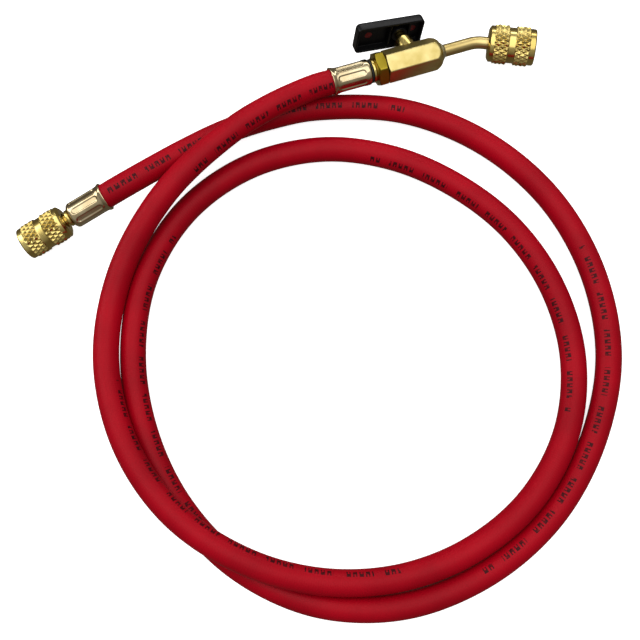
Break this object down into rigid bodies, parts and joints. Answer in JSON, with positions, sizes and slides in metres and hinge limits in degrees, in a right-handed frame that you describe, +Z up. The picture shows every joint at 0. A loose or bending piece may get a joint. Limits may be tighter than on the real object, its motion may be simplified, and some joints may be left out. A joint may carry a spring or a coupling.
{
  "type": "refrigerant charging hose",
  "caption": "Red rubber charging hose in two loose turns, with crimped ferrules, knurled brass swivel nuts, a lever ball valve and a bent outlet tube.",
  "frame": {"origin": "on the table, under the middle of the fittings' box (the hose left out)", "axes": "+Z up from the table; +X along the fittings, from the service nut towards the outlet nut; +Y away from the loop"},
  "size_m": [0.296, 0.3021, 0.0292],
  "materials": {
    "red_rubber": "satin extruded rubber",
    "plated_ferrule": "bright yellow-tinted plating",
    "brass": "bright machined",
    "black_rubber": "matte",
    "chromed_ball": "polished",
    "lever_plastic": "moulded, semi-gloss",
    "braze": "as brazed"
  },
  "bodies": {
    "root": {"hose": "red_rubber", "service_ferrule": "plated_ferrule", "service_tail": "brass", "service_gasket": "black_rubber", "valve_ferrule": "plated_ferrule", "tail_ring": "black_rubber", "valve_tail": "brass", "valve_body": "brass", "stem_gland": "brass", "braze_ring": "braze", "outlet_tube": "brass", "outlet_gasket": "black_rubber"},
    "service_nut_body": {"service_nut": "brass"},
    "outlet_nut_body": {"outlet_nut": "brass"},
    "lever_body": {"valve_ball": "chromed_ball", "valve_stem": "brass", "valve_handle": "lever_plastic"}
  },
  "joints": [
    {"name": "service_nut_spin", "type": "hinge", "parent": "root", "child": "service_nut_body", "pos_m": [-0.12659, -0.05767, 0.00799], "axis": [-0.8625, -0.4722, -0.1822], "continuous": true},
    {"name": "outlet_nut_spin", "type": "hinge", "parent": "root", "child": "outlet_nut_body", "pos_m": [0.12928, 0.04567, 0.01423], "axis": [0.9902, -0.1316, 0.0474], "continuous": true},
    {"name": "handle_turn", "type": "hinge", "parent": "root", "child": "lever_body", "pos_m": [0.06629, 0.03846, 0.01525], "axis": [-0.3255, 0.9142, -0.2413], "range_deg": [-8, 82]}
  ]
}
